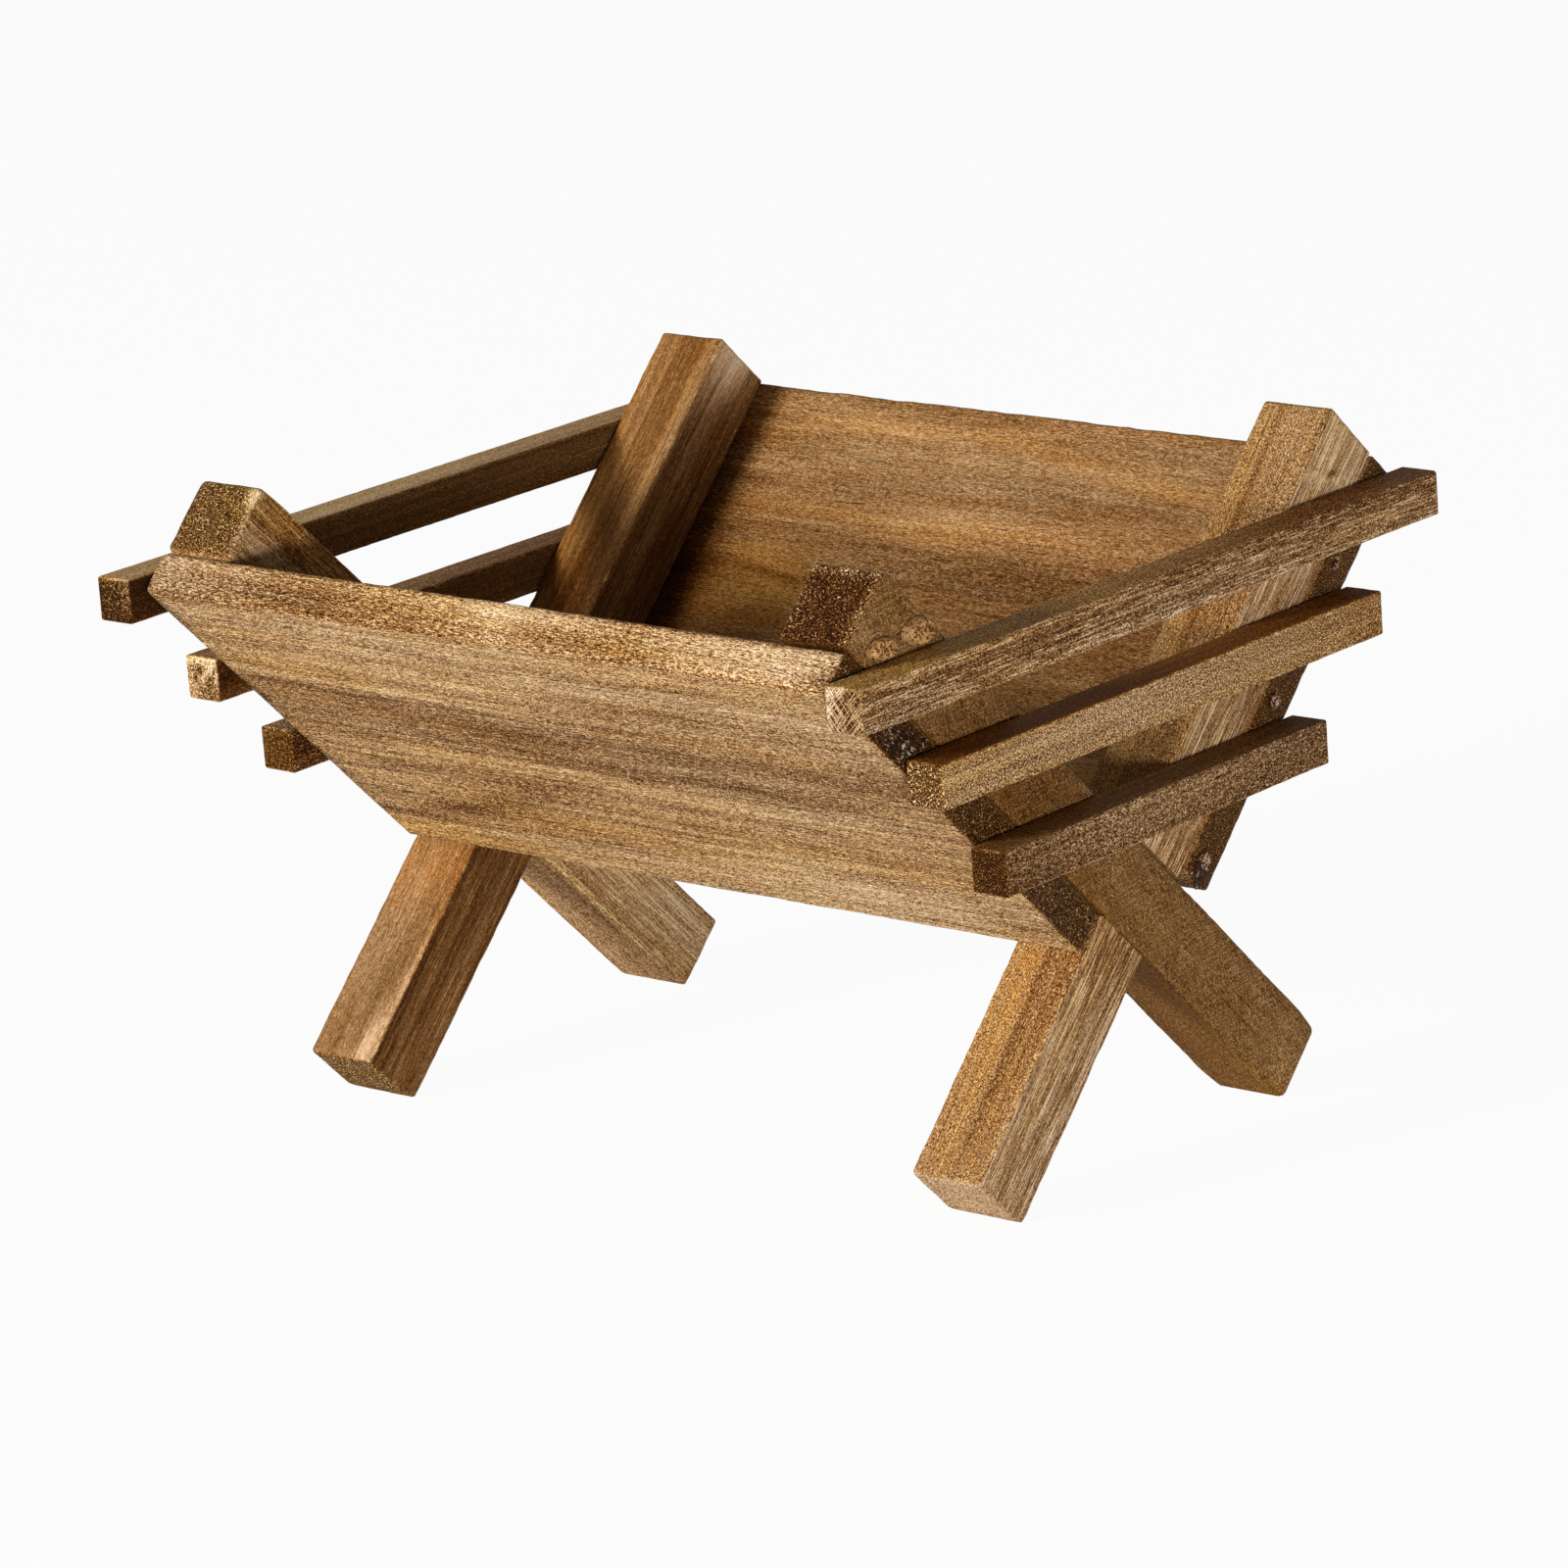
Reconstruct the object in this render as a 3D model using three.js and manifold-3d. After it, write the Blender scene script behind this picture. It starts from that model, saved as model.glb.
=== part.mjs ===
// A small wooden manger: two cross-lapped X frames carry two leaning boards, three slats close each end,
// and dried glue shows where it squeezed out of the joints.
// Millimetres. +X runs along the boards to the right, +Y to the back, +Z up.
// The origin lies on the ground, at the middle of the footprint.

import * as THREE from "three";
import { mergeVertices } from "three/addons/utils/BufferGeometryUtils.js";
import Module from "manifold-3d";

const wasm = await Module();
wasm.setup();

// Legs: square sticks, measured along their length from the point where the two of a frame cross
const stickSize = 11.6;
const upperArm = 73.3;
const lowerArm = 46.8;
const lean = THREE.MathUtils.degToRad(45);
const footFlat = 1.6;

// Boards: both run from the outer face of one frame to the outer face of the other. Their top edges are
// flush with the legs' top ends, and their lower edges stop just above the legs that cross below them.
const boardLength = 120;
const boardThickness = 6.3;
const frontSeatGap = 0.7;
const backSeatGap = 1.9;

// Slats: square strips across the ends, in three rows down from the boards' rim
const slatThickness = 6.0;
const slatHeight = 6.2;
const topSlatDrop = 2.8;
const slatPitch = 14.1;

// The slats were glued by eye. lift is how far one sits above its row,
// and its two ends pass the boards' outer faces by pastFront and pastBack.
const slats = [
  { name: "slat_right_top", side: 1, row: 0, lift: -0.25, pastFront: -0.8, pastBack: 0.2 },
  { name: "slat_right_middle", side: 1, row: 1, lift: 0.35, pastFront: -2.0, pastBack: -0.3 },
  { name: "slat_right_bottom", side: 1, row: 2, lift: -0.15, pastFront: 1.1, pastBack: 0.6 },
  { name: "slat_left_top", side: -1, row: 0, lift: 0.25, pastFront: 0.5, pastBack: 0.5 },
  { name: "slat_left_middle", side: -1, row: 1, lift: -0.35, pastFront: 0.2, pastBack: 0.3 },
  { name: "slat_left_bottom", side: -1, row: 2, lift: 0.25, pastFront: 0.5, pastBack: 0.3 },
];

// Sanding rounds the long arrises and takes the sharpness off the sawn ends
const arrisRadius = 0.5;
const endArris = 0.3;

// Fits: the glue line between two faces, and the play in a cross lap
const glueLine = 0.25;
const lapPlay = 0.25;

// Tan beads of glue lie on the front right leg, on the top slat.
// offCentre is how far a bead's middle lies behind the leg's centre line at that height.
const legBeads = [
  { name: "glue_bead_leg_front", offCentre: -3.5, width: 6.8, height: 3.4, bulge: 1.8 },
  { name: "glue_bead_leg_back", offCentre: 4.2, width: 7.0, height: 4.4, bulge: 2.0 },
];

// Dark dabs of glue lie on the boards' right ends. rise is how far a dab's middle lies above a slat's top,
// fromLowerEdge how far up the board it lies, and fromInner how far from the board's inner face.
const frontBoardDabs = [
  {
    name: "glue_dab_front_board_large",
    slat: "slat_right_middle",
    rise: 2.3,
    fromInner: 3.3,
    width: 3.2,
    height: 3.4,
    bulge: 0.9,
  },
  {
    name: "glue_dab_front_board_small",
    slat: "slat_right_middle",
    rise: 1.1,
    fromInner: 1.2,
    width: 1.5,
    height: 1.4,
    bulge: 0.6,
  },
];
const backBoardDabs = [
  {
    name: "glue_dab_back_board_top",
    slat: "slat_right_middle",
    rise: 3.4,
    fromInner: 2.2,
    width: 1.8,
    height: 1.8,
    bulge: 0.6,
  },
  {
    name: "glue_dab_back_board_middle",
    slat: "slat_right_bottom",
    rise: 2.8,
    fromInner: 2.2,
    width: 3.4,
    height: 2.6,
    bulge: 0.8,
  },
  {
    name: "glue_dab_back_board_bottom",
    fromLowerEdge: 3.1,
    fromInner: 2.6,
    width: 3.6,
    height: 2.8,
    bulge: 0.8,
  },
];

// Places worked out from the sizes. Heights are measured from the crossing.
const halfLength = boardLength / 2;
const boardInner = stickSize / 2 + glueLine;
const boardOuter = boardInner + boardThickness;
const rimHeight = upperArm * Math.cos(lean) - boardInner * Math.sin(lean);
const footCut = footFlat * Math.sin(lean) * Math.cos(lean);
const crossingHeight = lowerArm * Math.cos(lean) + (stickSize / 2) * Math.sin(lean) - footCut;

// The boards' outer faces open out upwards: their distance from the middle at a height
function outerFaceAt(height) {
  return height * Math.tan(lean) + boardOuter / Math.cos(lean);
}

// The distance along a leg of a point at a height that lies offset outwards from the leg's centre line
function alongLegAt(height, offset) {
  return (height + offset * Math.sin(lean)) / Math.cos(lean);
}

// The distance along a leg at which a board's lower edge clears the crossing leg by a gap
function lowerEdgeAt(gap) {
  const nearest = Math.min(boardInner * Math.cos(2 * lean), boardOuter * Math.cos(2 * lean));
  return (stickSize / 2 + gap - nearest) / Math.sin(2 * lean);
}

function slatTop({ row, lift }) {
  return rimHeight - topSlatDrop - row * slatPitch + lift;
}

function slatNamed(name) {
  return slats.find((slat) => slat.name === name);
}

// Finishes
function stain(color, roughness) {
  return new THREE.MeshStandardMaterial({ color, roughness, metalness: 0 });
}

const boardFinish = () => stain(0x9b7044, 0.68);
const legFinish = () => stain(0x8a6238, 0.7);
const slatFinish = () => stain(0x7d5c3a, 0.75);
const tanGlueFinish = () => stain(0xb98f5c, 0.5);
const darkGlueFinish = () => stain(0x3a2415, 0.25);

// Cutting works on closed solids, drawing on plain geometry
function toSolid(geometry) {
  const bare = geometry.clone();
  bare.deleteAttribute("normal");
  bare.deleteAttribute("uv");
  const merged = mergeVertices(bare);
  return new wasm.Manifold(
    new wasm.Mesh({
      numProp: 3,
      vertProperties: new Float32Array(merged.attributes.position.array),
      triVerts: new Uint32Array(merged.index.array),
    }),
  );
}

function toGeometry(solid) {
  const mesh = solid.getMesh();
  const indexed = new THREE.BufferGeometry();
  indexed.setAttribute("position", new THREE.BufferAttribute(mesh.vertProperties, 3));
  indexed.setIndex(new THREE.BufferAttribute(mesh.triVerts, 1));
  const geometry = indexed.toNonIndexed();
  geometry.computeVertexNormals();
  return geometry;
}

// A sawn and sanded block about the origin. Its four long arrises run along Z.
function sandedBlock(sizeX, sizeY, sizeZ) {
  const cornerX = sizeX / 2 - arrisRadius;
  const cornerY = sizeY / 2 - arrisRadius;
  const quarter = Math.PI / 2;
  const section = new THREE.Shape();
  section.absarc(cornerX, cornerY, arrisRadius, 0, quarter);
  section.absarc(-cornerX, cornerY, arrisRadius, quarter, 2 * quarter);
  section.absarc(-cornerX, -cornerY, arrisRadius, 2 * quarter, 3 * quarter);
  section.absarc(cornerX, -cornerY, arrisRadius, 3 * quarter, 4 * quarter);
  section.closePath();

  const block = new THREE.ExtrudeGeometry(section, {
    depth: sizeZ - 2 * endArris,
    curveSegments: 2,
    bevelThickness: endArris,
    bevelSize: endArris,
    bevelOffset: -endArris,
    bevelSegments: 1,
  });
  return block.translate(0, 0, endArris - sizeZ / 2);
}

// A leg stands along its own Z, with the crossing at its origin. turn is the angle it is set at,
// and keptSide says which half of its thickness runs on through the cross lap.
function legGeometry(turn, keptSide) {
  const stick = sandedBlock(stickSize, stickSize, upperArm + lowerArm);
  stick.translate(0, 0, (upperArm - lowerArm) / 2);

  // The other stick lies in this one's housing, which is cut down to the middle of the thickness
  const housing = new THREE.BoxGeometry(stickSize, stickSize + 2 * lapPlay, 4 * stickSize);
  housing.translate((keptSide * (lapPlay - stickSize)) / 2, 0, 0);
  housing.rotateX(-2 * turn);

  // The lowest corner is ground flat where the foot stands
  const ground = new THREE.BoxGeometry(2 * stickSize, 4 * stickSize, 2 * stickSize);
  ground.translate(0, lowerArm * Math.sin(turn), -crossingHeight - stickSize);
  ground.rotateX(-turn);

  return toGeometry(toSolid(stick).subtract(toSolid(housing)).subtract(toSolid(ground)));
}

// Glue dries as a low dome on a face. Its flat back lies at the origin and it bulges towards +X.
function glueGeometry({ width, height, bulge }) {
  const steps = 5;
  const profile = [new THREE.Vector2(0, 0)];
  for (let step = 0; step < steps; step += 1) {
    const angle = (step / steps) * (Math.PI / 2);
    profile.push(new THREE.Vector2(Math.cos(angle), Math.sin(angle)));
  }
  profile.push(new THREE.Vector2(0, 1));
  const dome = new THREE.LatheGeometry(profile, 16);
  dome.rotateZ(-Math.PI / 2);
  dome.scale(bulge, width / 2, height / 2);
  return dome;
}

function piece(name, geometry, material) {
  const mesh = new THREE.Mesh(geometry, material);
  mesh.name = name;
  return mesh;
}

function dabMesh(dab, outward, lowerEdge) {
  const offset = boardInner + dab.fromInner;
  const mesh = piece(dab.name, glueGeometry(dab), darkGlueFinish());
  mesh.position.x = halfLength + glueLine;
  mesh.position.y = outward * offset;
  if (dab.slat) {
    mesh.position.z = alongLegAt(slatTop(slatNamed(dab.slat)) + dab.rise, offset);
  } else {
    mesh.position.z = lowerEdge + dab.fromLowerEdge;
  }
  return mesh;
}

// The two legs that lean to the front carry the front board, the two that lean to the back the back board.
// outward is the side of the legs that the board is glued to.
function leaningHalf({ turn, outward, keptSide, leftLeg, rightLeg, boardName, seatGap, dabs }) {
  const half = new THREE.Group();
  half.rotation.x = turn;

  for (const [name, side] of [[leftLeg, -1], [rightLeg, 1]]) {
    const leg = piece(name, legGeometry(turn, keptSide), legFinish());
    leg.position.x = side * (halfLength - stickSize / 2);
    half.add(leg);
  }

  const lowerEdge = lowerEdgeAt(seatGap);
  const boardWidth = upperArm - lowerEdge;
  const boardShape = sandedBlock(boardThickness, boardWidth, boardLength);
  boardShape.rotateY(Math.PI / 2);
  boardShape.rotateX(Math.PI / 2);
  const board = piece(boardName, boardShape, boardFinish());
  board.position.y = outward * (boardInner + boardThickness / 2);
  board.position.z = lowerEdge + boardWidth / 2;
  half.add(board);

  for (const dab of dabs) {
    half.add(dabMesh(dab, outward, lowerEdge));
  }
  return half;
}

function slatMesh(slat) {
  const top = slatTop(slat);
  const front = -outerFaceAt(top) - slat.pastFront;
  const back = outerFaceAt(top) + slat.pastBack;
  const strip = sandedBlock(slatThickness, slatHeight, back - front);
  strip.rotateX(Math.PI / 2);
  const mesh = piece(slat.name, strip, slatFinish());
  mesh.position.x = slat.side * (halfLength + glueLine + slatThickness / 2);
  mesh.position.y = (front + back) / 2;
  mesh.position.z = top - slatHeight / 2;
  return mesh;
}

function legBeadMesh(bead) {
  const middle = slatTop(slatNamed("slat_right_top")) + glueLine + bead.height / 2;
  const mesh = piece(bead.name, glueGeometry(bead), tanGlueFinish());
  mesh.position.x = halfLength + glueLine;
  mesh.position.y = bead.offCentre - middle * Math.tan(lean);
  mesh.position.z = middle;
  return mesh;
}

// The manger is built about the crossing, then lifted to stand on its feet
const manger = new THREE.Group();
manger.position.z = crossingHeight;

manger.add(
  leaningHalf({
    turn: lean,
    outward: -1,
    keptSide: 1,
    leftLeg: "leg_front_left",
    rightLeg: "leg_front_right",
    boardName: "front_board",
    seatGap: frontSeatGap,
    dabs: frontBoardDabs,
  }),
);

manger.add(
  leaningHalf({
    turn: -lean,
    outward: 1,
    keptSide: -1,
    leftLeg: "leg_back_left",
    rightLeg: "leg_back_right",
    boardName: "back_board",
    seatGap: backSeatGap,
    dabs: backBoardDabs,
  }),
);

for (const slat of slats) {
  manger.add(slatMesh(slat));
}

for (const bead of legBeads) {
  manger.add(legBeadMesh(bead));
}

export default manger;
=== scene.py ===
import math

import bpy
import numpy as np
from mathutils import Matrix, Vector, noise


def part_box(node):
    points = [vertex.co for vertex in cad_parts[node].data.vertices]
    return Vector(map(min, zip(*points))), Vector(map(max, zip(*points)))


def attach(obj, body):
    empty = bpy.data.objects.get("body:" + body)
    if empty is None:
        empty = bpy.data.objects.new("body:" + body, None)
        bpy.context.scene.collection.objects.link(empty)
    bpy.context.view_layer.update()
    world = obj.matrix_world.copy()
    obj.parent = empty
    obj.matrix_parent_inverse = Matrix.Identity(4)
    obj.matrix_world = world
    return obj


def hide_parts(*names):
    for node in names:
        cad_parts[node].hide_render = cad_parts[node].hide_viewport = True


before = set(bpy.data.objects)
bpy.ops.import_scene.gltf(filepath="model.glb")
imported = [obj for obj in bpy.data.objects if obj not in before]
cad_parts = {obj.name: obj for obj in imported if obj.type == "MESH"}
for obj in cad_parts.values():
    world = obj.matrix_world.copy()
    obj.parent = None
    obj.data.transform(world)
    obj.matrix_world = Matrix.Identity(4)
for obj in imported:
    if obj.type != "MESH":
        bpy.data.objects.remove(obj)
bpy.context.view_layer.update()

MM = 0.001
LEAN = math.radians(45)

# How each piece is turned about X from its own directions. Legs and boards lean to the front or to the back.
# A slat's own Z runs to the back, and its own Y runs down.
TURNS = {"front": LEAN, "back": -LEAN, "slat": -math.pi / 2}


# Shader nodes

def tint(code):
    """The linear colour of a six digit sRGB code."""
    channels = [int(code[i : i + 2], 16) / 255 for i in (0, 2, 4)]
    return (*[c / 12.92 if c <= 0.04045 else ((c + 0.055) / 1.055) ** 2.4 for c in channels], 1.0)


# The stain from its deepest, at 0, to bare wood, at 1
STAIN_STOPS = [
    (0.0, tint("1c0b01")),
    (0.22, tint("4a290c")),
    (0.42, tint("7d5931")),
    (0.56, tint("a37f55")),
    (0.72, tint("cdaa7e")),
    (1.0, tint("f4e0c2")),
]

# What multiplies the stain: grey where it is coolest, and orange or olive where it is warmest
GREY = (1.0, 1.07, 1.26, 1.0)
ORANGE = (1.0, 0.75, 0.385, 1.0)
OLIVE = (1.0, 0.97, 0.44, 1.0)

# How much each layer of noise or wear adds to the stain's place between deepest and bare
MIDDLE = 0.5
CLOUD = 0.20
BAND = 0.27
LINE = 0.32
BANDS_LOST_ON_ENDS = 0.7
FELT = 1.3
PORE = 1.5
COARSE_PORE = 0.9
# Pale specks on a coarse sawn end, painted highlights
PAINTED_END_GLINT = 0.5
HATCH = 0.42
HATCH_MEAN = 0.18
GROOVE = 0.46
GROOVE_MEAN = 0.14
SPLIT = 0.14
RUBBED = 0.22

# How much each layer shifts the tint from grey towards orange or olive. Paler places take a little less
# of a piece's own warmth.
TINT_LEVEL = 0.3
WARMTH = 0.7
WARMTH_WHEN_DEEP = 1.2
WARMTH_LOST_WHEN_BARE = 0.4
TINT_BY_DEPTH = 0.3
PATCH = 0.8
THREAD = 0.6
FRECKLE = 0.5
YELLOW_WHEN_BARE = 0.8

# Sockets of the Mix node where it mixes colours
MIX_SHARE, MIX_FIRST, MIX_SECOND, MIX_RESULT = 0, 6, 7, 2

# The rays that show a background: of the camera, of a reflection and through glass
SEEING_RAYS = ("Is Camera Ray", "Is Glossy Ray", "Is Transmission Ray")


class Signal:
    """An output socket. Arithmetic on signals adds Math nodes."""

    def __init__(self, finish, socket):
        self.finish = finish
        self.socket = socket

    def math(self, operation, *values):
        return self.finish.node("ShaderNodeMath", {"operation": operation}, values)

    def __add__(self, other):
        return self.math("ADD", self, other)

    def __sub__(self, other):
        return self.math("SUBTRACT", self, other)

    def __rsub__(self, other):
        return self.math("SUBTRACT", other, self)

    def __mul__(self, other):
        return self.math("MULTIPLY", self, other)

    def __pow__(self, other):
        return self.math("POWER", self, other)

    def above(self, low, high):
        """0 below low and 1 above high, with a smooth rise between."""
        settings = {"interpolation_type": "SMOOTHSTEP"}
        values = {"Value": self, "From Min": low, "From Max": high}
        return self.finish.node("ShaderNodeMapRange", settings, values)

    __radd__ = __add__


class Finish:
    """A material, or the world, that is built node by node."""

    def __init__(self, name, blocks):
        self.datablock = blocks.new(name)
        self.datablock.use_nodes = True
        self.tree = self.datablock.node_tree
        self.tree.nodes.clear()

    def node(self, kind, settings=None, inputs=(), output=0):
        """Adds a node: first its settings, then the values or links of its sockets, by place or by name."""
        made = self.tree.nodes.new(kind)
        for name, value in (settings or {}).items():
            if name == "stops":
                set_stops(made.color_ramp, value)
            else:
                setattr(made, name, value)
        pairs = inputs.items() if isinstance(inputs, dict) else enumerate(inputs)
        for name, value in pairs:
            if isinstance(value, Signal):
                self.tree.links.new(value.socket, made.inputs[name])
            else:
                made.inputs[name].default_value = value
        return Signal(self, made.outputs[output]) if made.outputs else None

    def mark(self, name, output="Fac"):
        """A number, or with the output Vector a place, that the mesh code has left on the piece."""
        return self.node("ShaderNodeAttribute", {"attribute_name": name}, output=output)

    def speckle(self, place, pitch, detail=2.0, rough=0.55):
        """Noise whose lumps are about as large as pitch, three sizes in millimetres."""
        scaled = self.node("ShaderNodeVectorMath", {"operation": "DIVIDE"}, (place, pitch))
        values = {"Vector": scaled, "Scale": 1.0, "Detail": detail, "Roughness": rough}
        return self.node("ShaderNodeTexNoise", None, values)

    def ripple(self, place, pitch, detail=2.0, rough=0.55):
        """The same noise, about 0."""
        return self.speckle(place, pitch, detail, rough) - 0.5

    def turned(self, place, *degrees):
        """The place turned about X, Y and Z."""
        angles = tuple(math.radians(d) for d in degrees)
        settings = {"rotation_type": "EULER_XYZ"}
        return self.node("ShaderNodeVectorRotate", settings, {"Vector": place, "Rotation": angles})

    def blend(self, share, first, second, way="MIX"):
        """Two colours, mixed or, by the way MULTIPLY, multiplied."""
        settings = {"data_type": "RGBA", "blend_type": way}
        values = {MIX_SHARE: share, MIX_FIRST: first, MIX_SECOND: second}
        return self.node("ShaderNodeMix", settings, values, MIX_RESULT)

    def seen_directly(self):
        """1 for the rays that show a background, and 0 for the others."""
        rays = self.tree.nodes.new("ShaderNodeLightPath")
        return sum(Signal(self, rays.outputs[name]) for name in SEEING_RAYS)

    def surface(self, **sockets):
        """Closes the material with a Principled shader. Socket names are written with _ for spaces."""
        named = {name.replace("_", " "): value for name, value in sockets.items()}
        shader = self.node("ShaderNodeBsdfPrincipled", None, named)
        self.node("ShaderNodeOutputMaterial", None, {"Surface": shader})
        return self.datablock


def set_stops(ramp, stops):
    while len(ramp.elements) < len(stops):
        ramp.elements.new(0.5)
    for element, (place, colour) in zip(ramp.elements, stops):
        element.position = place
        element.color = colour


def hatching(wood, grain, sawn, along):
    """The scratches of a coarse paper that has gone two ways, across a sawn end or along a side."""
    hatched = 0.0
    for slant in (38, -42):
        across_end = wood.speckle(wood.turned(grain, 0, 0, slant), (0.14, 3.0, 4.0), 1.0)
        across_side = wood.speckle(wood.turned(grain, slant - 8, 0, 0), (4.0, 0.18, 5.0), 1.0)
        for scratches, share in ((across_end, sawn), (across_side, along)):
            hatched = scratches.above(0.50, 0.60) * share + hatched
    return hatched.above(0.0, 1.2)


def stain_tint(wood, grain, depth):
    """What the stain is multiplied by: it varies in patches, threads and freckles, and with its depth."""
    patches = wood.ripple(grain, (6.0, 6.0, 60.0), 1.0)
    threads = wood.ripple(grain, (1.3, 1.3, 40.0), 1.0)
    freckles = wood.ripple(grain, (0.9, 0.9, 1.6), 1.0)
    warmth = wood.mark("warmth") * WARMTH * (WARMTH_WHEN_DEEP - depth * WARMTH_LOST_WHEN_BARE)
    share = TINT_LEVEL + warmth + (depth - MIDDLE) * TINT_BY_DEPTH
    share = share + patches * PATCH + threads * THREAD + freckles * FRECKLE
    yellow = wood.mark("olive") + depth.above(0.48, 0.85) * YELLOW_WHEN_BARE
    return wood.blend(share, GREY, wood.blend(yellow, ORANGE, OLIVE))


def stained_wood(name, fibres, grit, scratches, groove_length):
    """Stained softwood. The stain's depth at a point is a sum of bands, fibres, grit and wear, and a ramp
    turns it into a colour. The marks on the mesh shift it from place to place."""
    wood = Finish(name, bpy.data.materials)
    grain = wood.mark("grain", "Vector")
    banded = wood.mark("banded")
    coarse = wood.mark("coarse")
    sawn = wood.mark("sawn")
    along = 1 - sawn

    # Growth bands run along the grain, which is the third number of the place
    cloud = wood.ripple(grain, (9.0, 9.0, 45.0), 2.0)
    bands = wood.ripple(grain, (4.5, 4.5, 220.0), 1.0)
    lines = wood.ripple(grain, (1.1, 1.1, 90.0), 1.0)
    hairs = wood.ripple(grain, (0.34, 0.34, 26.0), 1.0)

    # Sanded fibres are short: grit, longer felt, pale flecks and coarse burr
    dust = wood.ripple(grain, (0.20, 0.20, 0.28), 2.0, 0.6)
    felt = wood.ripple(grain, (0.17, 0.17, 0.85), 2.0, 0.6)
    flecks = wood.speckle(grain, (0.21, 0.21, 0.6), 1.0).above(0.56, 0.70)
    burr = wood.ripple(grain, (0.36, 0.36, 0.65), 2.0, 0.6)

    # A sawn end shows pores, and where it is coarse pale specks that are painted highlights
    pores = wood.ripple(grain, (0.22, 0.22, 0.22), 2.0, 0.65)
    painted_end_glints = wood.speckle(grain, (0.26, 0.26, 0.26), 1.0).above(0.58, 0.70)

    # Wear: chips on the arrises, grooves and splits along the grain, and scratches that cross it at a slant
    chips = wood.ripple(grain, (1.0, 1.0, 2.4), 1.0)
    combed = wood.speckle(grain, (0.20, 0.20, groove_length), 2.0, 0.6).above(0.48, 0.64)
    splits = wood.speckle(grain, (0.5, 0.5, 34.0), 1.0).above(0.68, 0.75)
    scratched = wood.speckle(wood.turned(grain, 38, 31, 0), (0.26, 0.26, 9.0), 1.0).above(0.60, 0.72)
    hatched = hatching(wood, grain, sawn, along)
    rubbed = (wood.mark("arris") + dust * 0.9 + chips * 1.7).above(0.62, 1.1)

    grown = cloud * CLOUD + (bands * BAND + lines * LINE) * banded
    sanded = hairs * fibres * banded + dust * grit * wood.mark("gritty") + felt * wood.mark("felted") * FELT
    sanded = sanded + flecks * wood.mark("flecked") + burr * coarse
    depth = MIDDLE + wood.mark("tone") + grown * (1 - sawn * BANDS_LOST_ON_ENDS)
    depth = depth + along * sanded
    depth = depth + sawn * (pores * (PORE + coarse * COARSE_PORE) + painted_end_glints * coarse * PAINTED_END_GLINT)
    depth = depth + wood.mark("hatch") * (hatched * HATCH - HATCH_MEAN)
    depth = depth + wood.mark("streaks") * along * (combed * GROOVE - GROOVE_MEAN)
    depth = depth + scratched * along * scratches - splits * along * SPLIT
    depth = depth + rubbed * RUBBED
    stain = wood.node("ShaderNodeValToRGB", {"stops": STAIN_STOPS}, (depth,))
    colour = wood.blend(1.0, stain, stain_tint(wood, grain, depth), "MULTIPLY")

    height = dust + hairs * 0.5 - splits * 1.2 - scratched * 0.25 + burr * coarse
    height = along * height + sawn * pores * 1.8
    relief = wood.node("ShaderNodeBump", None, {"Strength": 0.5, "Distance": 0.0002, "Height": height})
    rough = 0.70 + dust * 0.25 - rubbed * 0.08 + sawn * 0.12 - wood.mark("gloss") * 0.45
    return wood.surface(Base_Color=colour, Roughness=rough, Normal=relief, Specular_IOR_Level=0.05)


leg_wood = stained_wood("leg stain", fibres=0.30, grit=1.9, scratches=0.06, groove_length=18.0)
board_wood = stained_wood("board stain", fibres=0.40, grit=3.2, scratches=0.03, groove_length=9.0)
slat_wood = stained_wood("slat stain", fibres=0.14, grit=2.8, scratches=0.08, groove_length=5.0)


def dried_glue(name, dark, pale, rim_gain, contrast, roughness, pitch, glint_speck_gain):
    """Dried glue with a gritty skin. Towards its rim it is paler, or where the gain is negative darker.
    Its glint specks are pale specks in small clusters, painted highlights of its glossy skin."""
    glue = Finish(name, bpy.data.materials)
    place = glue.mark("grain", "Vector")
    lumps = glue.ripple(place, (pitch, pitch, pitch), 3.0, 0.65)
    mixed = (glue.mark("rim") ** 4.0 * rim_gain + lumps * contrast + 0.3).above(0.0, 1.0)
    clusters = glue.speckle(place, (1.3, 1.3, 1.3), 1.0).above(0.50, 0.60)
    # Pale specks painted as highlights
    glint_specks = glue.speckle(place, (0.36, 0.30, 1.5), 2.0).above(0.55, 0.66) * clusters * glint_speck_gain
    relief = glue.node("ShaderNodeBump", None, {"Strength": 1.0, "Distance": 0.0003, "Height": lumps})
    return glue.surface(
        Base_Color=glue.blend(glint_specks, glue.blend(mixed, dark, pale), tint("d8ccba")),
        Roughness=roughness + lumps * 0.3,
        Normal=relief,
        Specular_IOR_Level=0.06,
    )


tan_glue = dried_glue(
    "tan glue",
    tint("633a15"),
    tint("cfa370"),
    rim_gain=0.8,
    contrast=9.5,
    roughness=0.7,
    pitch=0.38,
    glint_speck_gain=0.0,
)
dark_glue = dried_glue(
    "dark glue",
    tint("170a03"),
    tint("58381f"),
    rim_gain=0.1,
    contrast=5.5,
    roughness=0.45,
    pitch=0.4,
    glint_speck_gain=1.0,
)
milky_glue = dried_glue(
    "milky glue",
    tint("3a1c0e"),
    tint("dcb496"),
    rim_gain=-0.7,
    contrast=7.0,
    roughness=0.5,
    pitch=0.34,
    glint_speck_gain=0.8,
)


# Blocks of wood

# How much less and more than usual an arris is rubbed
RUB_RANGE = (0.86, 2.2)

# A blunted end is rubbed over this length, and to this radius at the most
BLUNT_REACH = 5.0
BLUNTEST = 1.5

# How far a side dips on average, so that it isn't quite flat
SIDE_DIP = 0.03

# Over how many millimetres a side's marks fade into the next side's, and the paler arris into the side.
# Farther away than the last, neither is felt.
SIDE_FADE = 0.12
ARRIS_FADE = 0.55
FARTHEST = 5.0

SIDES = ("-x", "+x", "-y", "+y", "-z", "+z")


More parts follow.
